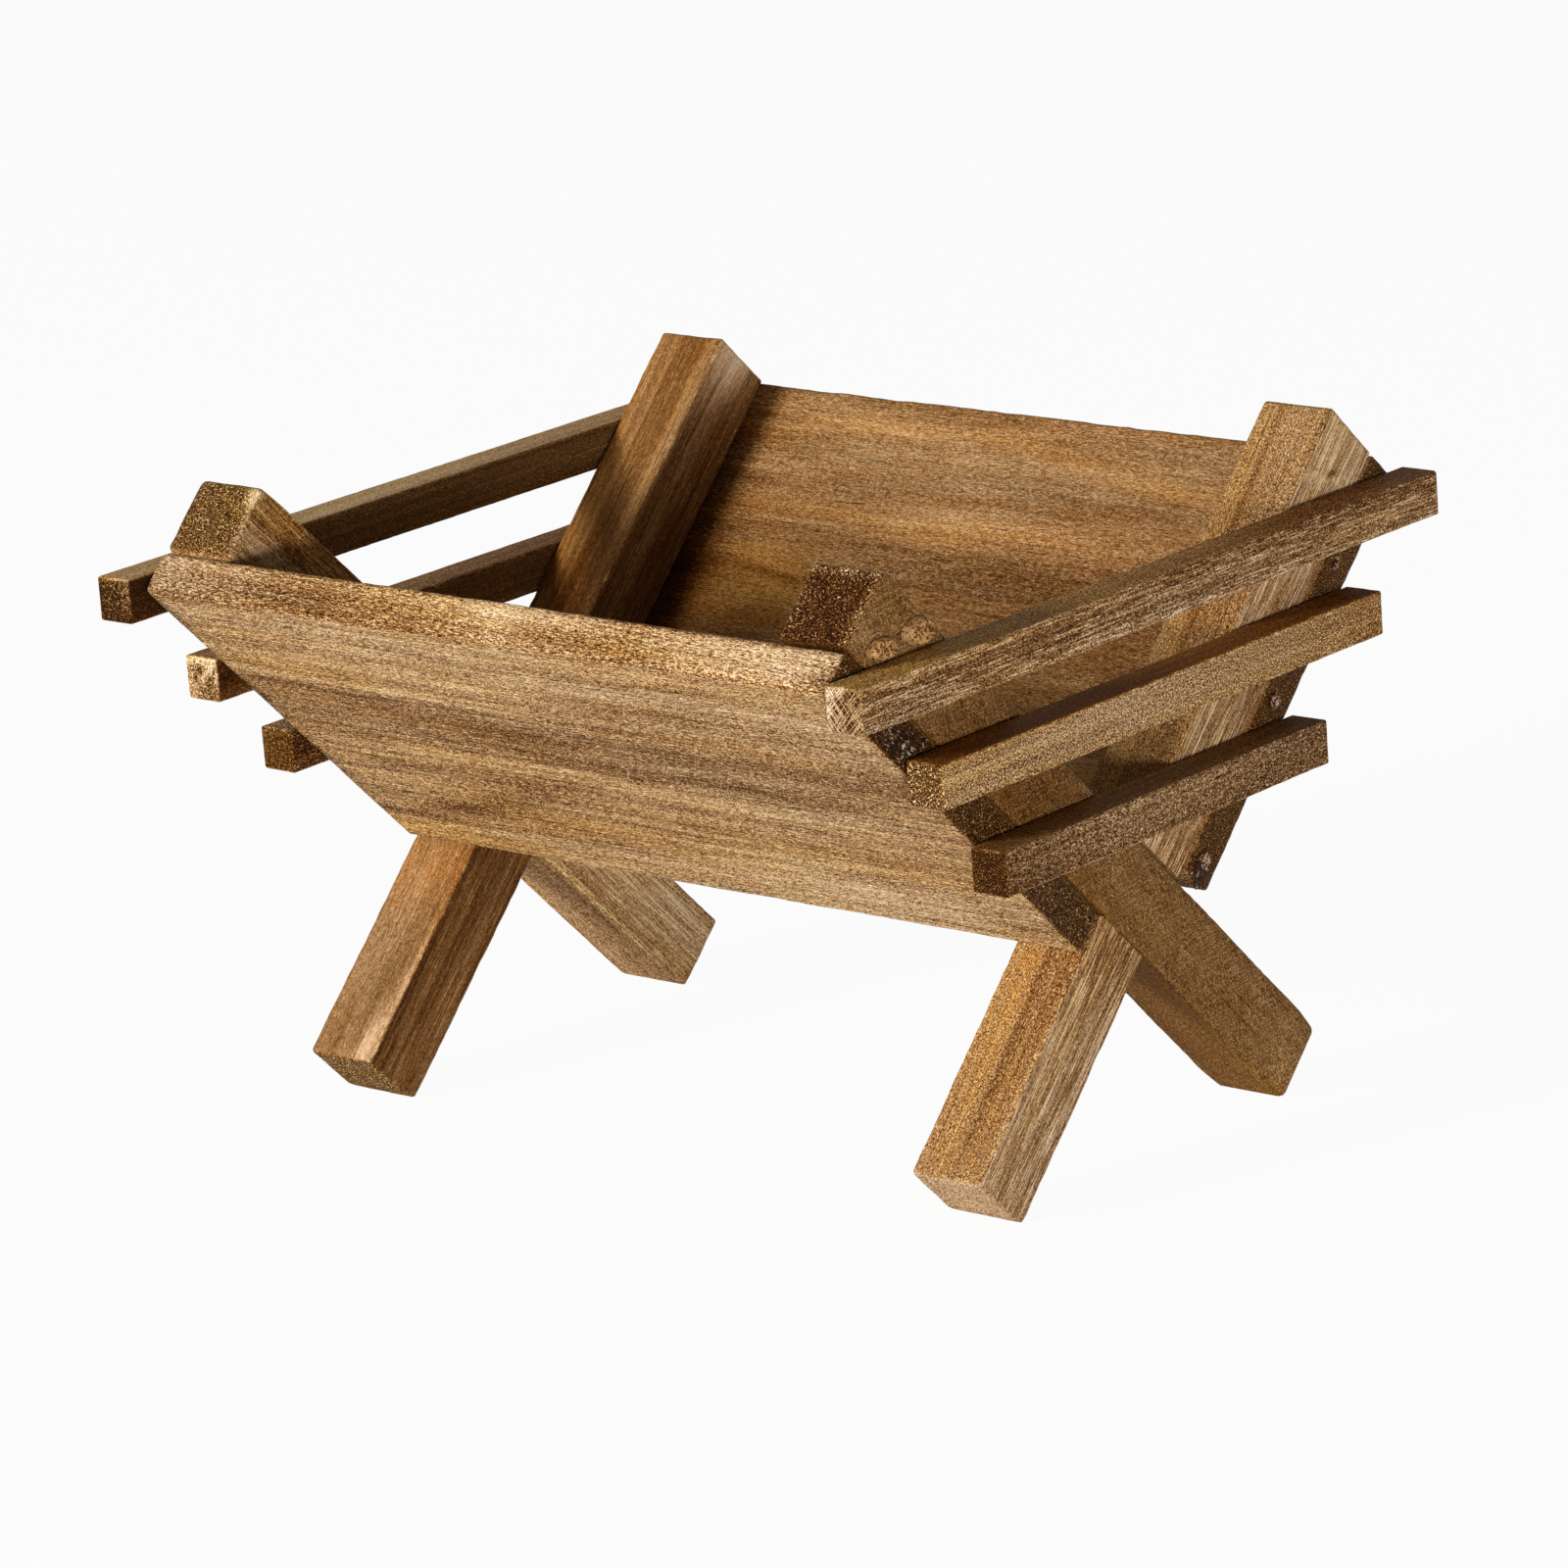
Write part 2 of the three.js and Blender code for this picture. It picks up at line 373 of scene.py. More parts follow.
def turned_box(node, turn):
    """The lowest and highest corner of a CAD node, in millimetres, in directions turned about X."""
    points = np.array([v.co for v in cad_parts[node].data.vertices]) / MM
    points = points @ np.array(Matrix.Rotation(turn, 3, "X"))
    return points.min(0), points.max(0)


def wobble(points, pitch, seed):
    """Smooth noise from -1 to 1 at each point. The seed shifts it, so that no two pieces share it."""
    shift = Vector((seed * 17.3, seed * 5.7, seed * 11.1))
    return np.array([noise.noise(Vector(p) / pitch + shift) for p in points])


def grid_axis(length, step, band):
    """One axis of a block's grid. Each line has a place from -1 to 1 in the flat part,
    and how far it has gone round the arris, as the tangent of an angle up to 45 degrees."""
    cells = max(2, round(length / step))
    turns = np.tan(np.linspace(0, math.pi / 4, band + 1)[1:])
    place = np.concatenate([np.full(band, -1.0), np.linspace(-1, 1, cells + 1), np.full(band, 1.0)])
    bend = np.concatenate([-turns[::-1], np.zeros(cells + 1), turns])
    return place, bend


def block_grid(size, step, band=3):
    """The surface grid of a block: for each point its place and bend along the three axes, and the quads."""
    axes = [grid_axis(size[i], step[i], band) for i in range(3)]
    count = [len(place) for place, bend in axes]
    index = np.arange(count[0] * count[1] * count[2]).reshape(count)
    quads = []
    for axis in range(3):
        for end, flip in ((0, True), (-1, False)):
            sheet = np.take(index, end, axis=axis)
            if axis == 1:
                flip = not flip
            corners = [sheet[:-1, :-1], sheet[1:, :-1], sheet[1:, 1:], sheet[:-1, 1:]]
            if flip:
                corners.reverse()
            quads.append(np.stack([c.ravel() for c in corners], axis=1))
    quads = np.concatenate(quads)
    used, quads = np.unique(quads, return_inverse=True)
    lines = np.unravel_index(used, count)
    place = np.stack([axes[i][0][lines[i]] for i in range(3)], axis=1)
    bend = np.stack([axes[i][1][lines[i]] for i in range(3)], axis=1)
    return place, bend, quads.reshape(-1, 4)


def sanded_points(size, place, bend, look):
    """Points of a sanded block about the origin. Its arrises are rubbed more in some places than others."""
    long_axis = look["long_axis"]
    seed = look["seed"]
    fray = look.get("fray", 0.0)
    half = np.array(size) / 2
    rough = half * place

    # Rubbed unevenly, over long and short distances
    rub = 1 + 0.3 * wobble(rough, 6.0, seed) + 0.45 * wobble(rough, 1.5, seed + 3)
    radius = np.full((len(place), 3), look["arris"]) * np.clip(rub, *RUB_RANGE)[:, None]
    radius[:, long_axis] *= look["end_arris"] / look["arris"]
    for key, end in (("blunt", -1), ("blunt_head", 1)):
        if key in look:
            from_end = half[long_axis] - end * rough[:, long_axis]
            near = np.clip(1 - from_end / BLUNT_REACH, 0, 1)[:, None]
            radius = np.where(near > 0, np.minimum(radius + look[key] * near, BLUNTEST), radius)
    direction = bend / np.linalg.norm(bend, axis=1, keepdims=True)
    points = place * (half - radius) + direction * radius

    # The sides are planed a little unevenly, and the ends are torn
    dip = SIDE_DIP * (1 + wobble(rough, 9.0, seed + 5))
    if fray:
        at_end = np.abs(direction[:, long_axis])
        torn = 1 + wobble(rough, 0.9, seed + 6) + wobble(rough, 2.3, seed + 7)
        dip = dip + at_end * fray * torn / 2
    return points - direction * dip[:, None]


def side_weights(points, half):
    """How much each point belongs to each of the sides, and its distances from them, the nearest first."""
    away = np.stack([half[i] + sign * points[:, i] for i in range(3) for sign in (1, -1)], axis=1)
    weights = np.exp(-np.clip(away, 0, FARTHEST) / SIDE_FADE)
    return weights / weights.sum(axis=1, keepdims=True), np.sort(away, axis=1)


def spot(side, at, reach, tone=0.0, warmth=0.0, coarse=0.0, slope=0.0):
    """A soft patch on one side. Its place and reach are along the side's two axes, in the order X, Y, Z.
    With a slope its second place rises along the first axis."""
    marks = {"tone": tone, "warmth": warmth, "coarse": coarse}
    return {"side": side, "at": at, "reach": reach, "slope": slope, "marks": marks}


def put_mark(mesh, name, values, kind="FLOAT"):
    """Leaves on each point of the mesh a number, or with the kind FLOAT_VECTOR a place."""
    attribute = mesh.attributes.new(name, kind, "POINT")
    field = "value" if kind == "FLOAT" else "vector"
    attribute.data.foreach_set(field, np.asarray(values, np.float32).ravel())


def mark_wood(mesh, half, look):
    """Leaves on the mesh the numbers that the stain reads: each side's own, arrises, sawn ends and grain."""
    points = np.array([v.co for v in mesh.vertices]) / MM
    weights, away = side_weights(points, half)

    def by_side(name, otherwise):
        return weights @ np.array([look.get(name, {}).get(side, otherwise) for side in SIDES])

    marks = {
        "tone": by_side("tones", 0.0),
        "warmth": by_side("warmths", look.get("warmth", 0.05)),
        "gritty": by_side("gritty", look.get("grit", 1.0)),
        "felted": by_side("felted", look.get("felt", 0.5)),
        "flecked": by_side("flecked", look.get("flecks", 0.0)),
        "coarse": by_side("coarse", 0.0),
        "hatch": by_side("hatch", 0.0),
        "gloss": by_side("gloss", 0.0),
        "streaks": by_side("streaks", 0.0),
        "banded": by_side("banded", look.get("bands", 1.0)),
    }
    sway = wobble(points, 22.0, look["seed"] + 9) * 0.25
    for mark in look.get("spots", ()):
        axis = "xyz".index(mark["side"][1])
        others = [i for i in range(3) if i != axis]
        first, second = [points[:, i] - at for i, at in zip(others, mark["at"])]
        du = first / mark["reach"][0] + sway
        dv = (second - mark["slope"] * first) / mark["reach"][1] + sway
        share = np.exp(-(du ** 2) - dv ** 2) * weights[:, SIDES.index(mark["side"])]
        for name, value in mark["marks"].items():
            marks[name] = marks[name] + value * share

    # The grain's own place has the piece's length last, and its origin lies in the tree's pith
    long_axis = look["long_axis"]
    order = [i for i in range(3) if i != long_axis] + [long_axis]
    grain = points[:, order] + np.array(look["pith"])
    grain[:, 0] += grain[:, 2] * look.get("drift", 0.0)
    marks["arris"] = np.exp(-np.clip(away[:, 1], 0, FARTHEST) / ARRIS_FADE) * look.get("worn", 1.0)
    marks["sawn"] = weights[:, 2 * long_axis] + weights[:, 2 * long_axis + 1]
    marks["olive"] = np.minimum(by_side("olive", look.get("green", 0.0)) + marks["sawn"], 1)
    for name, values in marks.items():
        put_mark(mesh, name, values)
    put_mark(mesh, "grain", grain, "FLOAT_VECTOR")


# Edges that bend by more than this show as sharp
CREASE = math.radians(50)


def new_piece(name, mesh, matrix, material):
    """An object in the world's own directions: the mesh itself is put in its place."""
    mesh.transform(matrix)
    piece = bpy.data.objects.new(name, mesh)
    bpy.context.scene.collection.objects.link(piece)
    mesh.materials.append(material)
    mesh.shade_smooth()
    mesh.set_sharp_from_angle(angle=CREASE)
    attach(piece, "root")
    return piece


def mesh_of(name, points, faces):
    """A mesh in metres from points in millimetres."""
    mesh = bpy.data.meshes.new(name)
    corners = [tuple(p) for p in np.asarray(points) * MM]
    mesh.from_pydata(corners, [], [tuple(int(i) for i in f) for f in faces])
    mesh.update()
    return mesh


def box_mesh(name, low, high):
    """A cutter with square corners."""
    xs, ys, zs = zip(low, high)
    corners = [(x, y, z) for x in xs for y in ys for z in zs]
    faces = [(0, 1, 3, 2), (4, 6, 7, 5), (0, 4, 5, 1), (2, 3, 7, 6), (0, 2, 6, 4), (1, 5, 7, 3)]
    return mesh_of(name, corners, faces)


def cut_away(mesh, cutter):
    """The mesh less a cutter."""
    block = bpy.data.objects.new("block", mesh)
    tool = bpy.data.objects.new("cutter", cutter)
    for item in (block, tool):
        bpy.context.scene.collection.objects.link(item)
    boolean = block.modifiers.new("cut", "BOOLEAN")
    boolean.operation = "DIFFERENCE"
    boolean.solver = "EXACT"
    boolean.object = tool
    graph = bpy.context.evaluated_depsgraph_get()
    made = bpy.data.meshes.new_from_object(block.evaluated_get(graph))
    bpy.data.objects.remove(block)
    bpy.data.objects.remove(tool)
    return made


def block_piece(node, turn, look, material):
    """A sanded block in the place of a CAD node."""
    low, high = turned_box(node, turn)
    size = high - low
    middle = (low + high) / 2
    place, bend, quads = block_grid(size, look["step"])
    points = sanded_points(size, place, bend, look)
    if "shape" in look:
        points = look["shape"](points, size / 2)
    mesh = mesh_of(node, points, quads)
    if "cuts" in look:
        mesh = look["cuts"](mesh, middle)
    mark_wood(mesh, size / 2, look)
    matrix = Matrix.Rotation(turn, 4, "X") @ Matrix.Translation(Vector(middle) * MM)
    piece = new_piece(node + "_wood", mesh, matrix, material)
    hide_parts(node)


# Legs

# The thickness of a stick, the play in its cross lap, and the steps of its grid, in millimetres
STICK = 11.6
LAP_PLAY = 0.25
LEG_STEP = (1.7, 1.7, 1.15)


def leg_cuts(turn):
    """The housing of the cross lap, which takes away half of the thickness where the other leg crosses.
    A leg that leans to the front keeps its right half there, and the other its left."""

    def cut(mesh, middle):
        crossing = middle[1] / math.tan(turn) - middle[2]
        low = np.array([-STICK, -STICK / 2 - LAP_PLAY, -2 * STICK])
        high = np.array([STICK, STICK / 2 + LAP_PLAY, 2 * STICK])
        if turn > 0:
            high[0] = LAP_PLAY / 2
        else:
            low[0] = -LAP_PLAY / 2
        cutter = box_mesh("housing", low, high)
        cutter.transform(Matrix.Rotation(-2 * turn, 4, "X"))
        cutter.transform(Matrix.Translation(Vector((0, 0, crossing)) * MM))
        return cut_away(mesh, cutter)

    return cut


def worn_foot(side):
    """Rubs the lowest edge of a foot round, as far as the ground."""

    def shape(points, half):
        reach = 2.0
        corner_y = side * half[1]
        across = (points[:, 1] - corner_y) * -side
        up = points[:, 2] + half[2]
        inside = (across < reach) & (up < reach)
        dy = reach - across[inside]
        dz = reach - up[inside]
        far = np.maximum(np.hypot(dy, dz) / reach, 1.0)
        moved = points.copy()
        moved[inside, 1] = corner_y - side * (reach - dy / far)
        moved[inside, 2] = -half[2] + reach - dz / far
        return moved

    return shape


def leg_look(half, seed, **more):
    """A leg's look. Each leg comes from its own place in the tree, so that no two show the same grain."""
    turn = TURNS[half]
    look = {
        "half": half,
        "seed": seed,
        "step": LEG_STEP,
        "long_axis": 2,
        "arris": 0.6,
        "end_arris": 0.65,
        "pith": (seed * 3.1 - 9.0, 16.0 - seed * 2.3, seed * 41.0),
        "drift": 0.02,
        "shape": worn_foot(-1 if turn > 0 else 1),
        "cuts": leg_cuts(turn),
    }
    look.update(more)
    return look


LEGS = {
    "leg_front_left": leg_look(
        "front",
        1,
        tones={"+z": -0.29, "+x": 0.005, "-z": -0.05},
        coarse={"+z": 1.0},
        streaks={"+x": 0.55},
        warmths={"+z": 0.35, "+x": 0.1},
        bands=0.8,
        hatch={"+x": 0.3},
        gritty={"+x": 0.6},
        worn=1.2,
        blunt_head=0.5,
        spots=[
            # Painted light: the next two spots lighten the +x side at its foot and in a band below its head,
            # where it lies in shade
            spot("+x", (0.0, -52.0), (9.0, 20.0), 0.19, -0.1),
            spot("+x", (4.2, 47.0), (1.4, 14.0), 0.16, 0.5),
            spot("+x", (2.9, 47.0), (0.3, 9.0), -0.14),
            spot("+x", (5.0, 48.0), (0.25, 10.0), -0.16),
            spot("+x", (1.6, 50.0), (0.25, 8.0), -0.10),
            spot("+x", (3.3, 52.8), (2.4, 5.0), -0.10, 0.5),
            spot("+x", (-2.0, 52.0), (3.6, 12.0), 0.02, -0.4),
            spot("+z", (5.4, 4.4), (1.3, 2.2), 0.6, -0.6),
            spot("+z", (5.5, 0.0), (0.45, 9.0), 0.2, -0.5, coarse=0.5),
            spot("+z", (0.0, 5.5), (9.0, 0.45), 0.2, -0.5, coarse=0.5),
            spot("+x", (5.0, 59.8), (1.2, 0.6), 0.25, -0.5),
        ],
    ),
    "leg_front_right": leg_look(
        "front",
        2,
        tones={"+z": -0.45, "+x": -0.125, "-y": -0.16, "-z": -0.15},
        warmths={"+x": -0.1, "-y": 0.6, "+z": 0.52, "-z": 0.1},
        green=0.8,
        olive={"+z": -1.0},
        bands=0.3,
        worn=0.6,
        coarse={"+z": 1.0},
        hatch={"+x": 0.32},
        gritty={"+x": 0.6, "-y": 0.6},
        felted={"+x": 0.15},
        blunt=0.9,
        spots=[
            spot("+x", (0.0, 18.0), (9.0, 18.0), -0.09, 0.3, coarse=0.1),
            spot("+x", (0.0, -60.0), (9.0, 12.0), 0.06, 0.1),
            spot("-y", (0.0, 60.0), (9.0, 3.0), -0.25, -0.5),
            spot("+z", (5.5, 0.0), (0.5, 9.0), 0.26, -0.8, coarse=0.5),
            spot("+z", (0.0, 5.5), (9.0, 0.5), 0.26, -0.8, coarse=0.5),
            spot("+z", (-5.5, 0.0), (0.6, 9.0), 0.1, -0.5, coarse=0.5),
        ],
    ),
    "leg_back_left": leg_look(
        "back",
        3,
        # The +x side faces into the trough: its low tone is partly painted shade
        tones={"-y": -0.04, "+x": -0.19, "-z": -0.24},
        olive={"-y": -0.7},
        coarse={"-z": 1.2},
        warmth=0.1,
        warmths={"-y": 0.45, "-z": 0.25, "+x": 0.1},
        grit=0.3,
        felt=0.4,
        bands=0.8,
        streaks={"+x": 0.3},
        spots=[
            spot("-y", (3.9, -58.5), (1.5, 6.0), 0.32, -0.3),
            spot("-y", (5.4, -48.0), (0.5, 8.0), 0.2, -0.2),
            spot("-y", (0.8, -50.0), (1.8, 10.0), -0.14, -0.4),
            spot("-y", (-3.5, -46.0), (2.4, 11.0), 0.04, -0.1),
            spot("-y", (0.0, -50.0), (9.0, 18.0), 0.0, -0.7),
            spot("-y", (0.0, -30.0), (6.0, 6.0), 0.06, 0.3),
            spot("-y", (3.9, 42.0), (1.3, 20.0), 0.13, -0.2),
            spot("-y", (2.9, 47.0), (0.2, 6.0), -0.2),
            spot("+x", (-1.0, -42.0), (0.3, 12.0), -0.14),
            # Painted light: lightens the +x side towards its head
            spot("+x", (-2.0, 60.0), (5.0, 9.0), 0.48, -0.7),
            # Painted shade: darkens the +x side down its middle
            spot("+x", (3.5, 38.0), (3.0, 22.0), -0.09),
            spot("+x", (-4.6, 30.0), (0.9, 16.0), 0.10, 0.3),
            # Painted light: lightens the -y side near its left edge, where shade falls
            spot("-y", (-5.2, 32.0), (2.8, 9.0), 0.02, 0.8),
            # Painted shade: darkens the +x side down its middle
            spot("+x", (1.0, 30.0), (8.0, 16.0), -0.06),
            # Painted light: lightens the +x side below its head
            spot("+x", (-2.5, 40.0), (5.0, 9.0), 0.10, -0.5),
            spot("+x", (0.0, -44.0), (8.0, 16.0), 0.05),
            spot("+x", (-5.0, -44.0), (1.0, 16.0), -0.14),
            # Painted light: lightens the -y side near its left edge, where shade falls
            spot("-y", (-3.0, 31.0), (4.4, 9.0), 0.18, 0.4),
            spot("-y", (0.0, 18.0), (7.0, 9.0), -0.15, 0.3),
            # Painted light: lightens the -y side along its left edge, where shade falls
            spot("-y", (-5.4, 40.0), (0.7, 22.0), 0.08, 0.7),
        ],
    ),
    "leg_back_right": leg_look(
        "back",
        4,
        tones={"-y": -0.04, "+x": 0.09, "-z": 0.11},
        streaks={"+x": 0.85},
        warmths={"-y": 0.2, "+x": -0.15, "-z": -0.55},
        bands=0.8,
        coarse={"+x": 0.2, "-z": 0.4},
        gritty={"+x": 0.6, "-y": 0.9},
        flecked={"-y": 0.12},
        worn=0.55,
        spots=[
            spot("-y", (-3.4, 0.0), (2.4, 90.0), 0.13, 0.42),
            spot("-y", (0.6, -42.0), (0.35, 18.0), -0.08),
            spot("-y", (3.0, -34.0), (2.4, 34.0), -0.11, 0.3),
            spot("-y", (3.1, 27.9), (8.0, 9.0), -0.07, 0.25),
            spot("-y", (0.0, 56.0), (8.0, 7.0), 0.04),
            spot("-y", (3.0, 46.0), (0.25, 7.0), -0.16),
            spot("-y", (0.2, 50.0), (0.25, 7.0), -0.16),
            # Painted shade: darkens the +x side between the middle and bottom slats
            spot("+x", (0.0, -22.0), (8.0, 5.0), -0.12, 0.3),
            spot("+x", (0.0, 52.0), (8.0, 12.0), 0.12),
            spot("+x", (-1.2, 51.6), (2.2, 0.45), 0.35, -0.3, slope=0.6),
            spot("+x", (-0.6, 52.8), (2.0, 0.3), -0.3, slope=0.6),
        ],
    ),
}

for node, look in LEGS.items():
    block_piece(node, TURNS[look["half"]], look, leg_wood)


# Boards

BOARD_LOOK = {
    "step": (1.5, 1.0, 1.0),
    "long_axis": 0,
    "arris": 0.85,
    "end_arris": 0.4,
    "worn": 0.7,
    "fray": 0.22,
}
BOARDS = {
    "front_board": dict(
        BOARD_LOOK,
        half="front",
        seed=11,
        pith=(-9.0, 4.0, 30.0),
        drift=0.03,
        tones={"-y": 0.008, "+z": 0.03, "+x": -0.42},
        gloss={"+x": 0.7},
        warmths={"-y": 0.07, "+z": -0.15, "+x": 0.3},
        coarse={"+x": 0.9},
        gritty={"-y": 0.62, "+z": 0.45},
        felted={"-y": 1.35, "+z": 1.4},
        banded={"-y": 1.25},
        worn=0.1,
        spots=[
            spot("-y", (0.0, 25.0), (90.0, 8.0), 0.02),
            spot("-y", (0.0, 31.5), (90.0, 2.0), 0.05),
            spot("-y", (-38.0, 22.4), (25.0, 0.35), -0.10),
            spot("-y", (-48.0, 18.4), (22.0, 0.6), 0.10, 0.1),
            spot("-y", (-25.0, 19.4), (30.0, 0.4), 0.10, 0.5),
            spot("-y", (-20.0, 17.5), (34.0, 0.3), -0.10),
            spot("-y", (-45.0, 9.9), (22.0, 1.2), -0.06),
            spot("-y", (-40.0, 4.0), (26.0, 1.4), -0.06),
            spot("-y", (10.0, 2.0), (40.0, 9.0), 0.0, -0.3),
            spot("-y", (-48.0, -22.5), (14.0, 0.5), -0.10, slope=0.3),
            spot("-y", (-46.0, -25.5), (14.0, 0.5), -0.08, slope=0.3),
            spot("-y", (-50.0, -27.5), (12.0, 0.5), 0.08, 0.3, slope=0.3),
            spot("-y", (-40.0, 13.6), (30.0, 1.0), 0.20, 0.1),
            spot("-y", (5.0, 14.2), (28.0, 0.6), 0.08),
            spot("-y", (-42.0, 11.2), (26.0, 0.8), -0.06),
            spot("-y", (5.0, 5.6), (90.0, 5.6), -0.15, 0.15),
            spot("-y", (20.0, 0.6), (45.0, 1.2), -0.06),
            spot("-y", (-28.0, -3.4), (16.0, 2.0), 0.07, 0.25),
            spot("-y", (-37.0, -19.4), (20.0, 3.4), -0.16, 0.2, slope=0.35),
            spot("-y", (12.0, -14.0), (36.0, 1.6), -0.06, slope=0.03),
            spot("-y", (-48.0, -31.0), (20.0, 4.0), 0.07, 0.5),
            spot("-y", (24.0, -26.5), (40.0, 6.0), 0.11, -0.2, slope=0.06),
            spot("-y", (0.0, -33.0), (70.0, 2.0), 0.07),
            spot("-y", (-14.0, -20.5), (30.0, 4.0), -0.04, 0.5),
            spot("-y", (14.5, 25.0), (30.0, 5.0), 0.0, -0.35),
            spot("-y", (42.0, -1.4), (18.0, 8.0), 0.0, -0.25),
            spot("-y", (-42.0, 15.0), (12.0, 6.0), 0.02, 0.2),
            spot("-y", (30.0, -10.6), (30.0, 3.0), 0.07),
            spot("-y", (8.0, -16.6), (34.0, 1.8), -0.06),
            spot("+z", (-58.0, 0.0), (4.0, 6.0), 0.06, -0.3),
            spot("+z", (-33.0, 0.0), (10.0, 6.0), -0.09, 0.3, coarse=0.3),
            spot("+z", (0.0, 3.3), (300.0, 0.6), -0.2, 0.5),
            spot("+z", (0.0, -3.2), (300.0, 0.5), -0.1),
            spot("-y", (0.0, 33.4), (300.0, 0.5), -0.08),
            spot("-y", (-2.0, -8.0), (90.0, 14.0), 0.0, 0.12),
            spot("+z", (-17.0, 0.0), (9.0, 6.0), -0.03, 0.4),
            spot("+z", (-6.0, 0.0), (5.0, 6.0), 0.03, 0.1),
            spot("+z", (2.0, 0.0), (5.0, 6.0), 0.13, -0.1),
            spot("+z", (24.0, 0.0), (9.0, 6.0), -0.08, 0.4),
            spot("+z", (46.0, 0.0), (18.0, 6.0), 0.13, -0.1),
            spot("+z", (58.5, -2.0), (2.0, 2.5), -0.2),
            # Darker on the sawn end between the top and middle right slats: partly the end grain and partly
            # painted shade
            spot("+x", (-1.3, 18.0), (4.0, 7.0), -0.12),
        ],
    ),
    "back_board": dict(
        BOARD_LOOK,
        half="back",
        seed=12,
        pith=(14.0, 40.0, 10.0),
        drift=0.05,
        tones={"-y": 0.03, "+x": -0.36},
        gloss={"+x": 0.6},
        olive={"-y": -0.5},
        warmth=0.24,
        warmths={"+x": 0.4},
        coarse={"+x": 0.8},
        gritty={"-y": 0.25},
        felted={"-y": 0.75},
        bands=0.55,
        fray=0.05,
        spots=[
            spot("-y", (-24.0, 28.0), (20.0, 1.7), 0.14, 0.4),
            spot("-y", (22.0, 24.2), (24.0, 1.6), 0.08, 0.4, slope=-0.14),
            spot("-y", (0.0, 32.0), (60.0, 1.5), -0.05),
            spot("-y", (-10.0, 21.0), (40.0, 3.0), -0.02, -0.3),
            spot("-y", (-8.4, 19.6), (16.0, 3.8), 0.06, 0.1),
            spot("-y", (-37.5, 12.2), (10.0, 5.0), 0.0, 0.2),
            spot("-y", (-38.6, 0.5), (10.0, 5.0), -0.02, 0.5),
            spot("-y", (25.9, 16.6), (14.0, 3.0), -0.05),
            spot("-y", (30.5, -26.9), (12.0, 5.0), -0.09, 0.4),
            spot("-y", (-10.0, 13.4), (30.0, 1.9), 0.10, 0.2),
            spot("-y", (6.0, 10.4), (16.0, 0.35), 0.12),
            spot("-y", (5.0, 6.0), (34.0, 3.6), -0.11, coarse=0.4),
            spot("-y", (-36.0, -2.0), (10.0, 5.0), 0.0, 0.8),
            spot("-y", (-36.0, 1.4), (10.0, 0.4), -0.14),
            spot("-y", (-36.0, -4.4), (10.0, 0.4), -0.14),
            spot("-y", (26.0, -3.0), (26.0, 12.0), -0.10, 0.1, coarse=0.4),
            # Painted shadow: these four spots darken the board beside leg_back_left, where the leg's shadow
            # falls
            spot("-y", (-50.0, 0.0), (8.0, 40.0), -0.10, 0.2),
            spot("-y", (-49.5, -6.0), (5.0, 22.0), -0.30),
            spot("-y", (-46.5, -4.0), (4.0, 12.0), -0.14),
            spot("-y", (-50.5, 16.0), (3.4, 14.0), -0.20),
            spot("-y", (-34.0, -1.0), (14.0, 8.0), 0.10, 0.6),
            spot("-y", (-33.0, 4.4), (9.0, 0.7), 0.10, 0.5, slope=-0.15),
            spot("-y", (-33.0, 0.9), (9.0, 0.6), 0.12, 0.5, slope=-0.15),
            spot("-y", (-33.0, 2.7), (9.0, 0.5), -0.12, slope=-0.15),
            spot("-y", (-20.0, 9.6), (28.0, 2.0), -0.07),
            # Painted light: lightens the lower right of the board, where the front board's shadow falls
            spot("-y", (34.0, -22.0), (8.0, 6.0), 0.35, 0.2),
            spot("+x", (-0.7, 17.1), (0.6, 0.6), 0.5, -0.2),
        ],
    ),
}

for node, look in BOARDS.items():
    block_piece(node, TURNS[look["half"]], look, board_wood)


# Slats

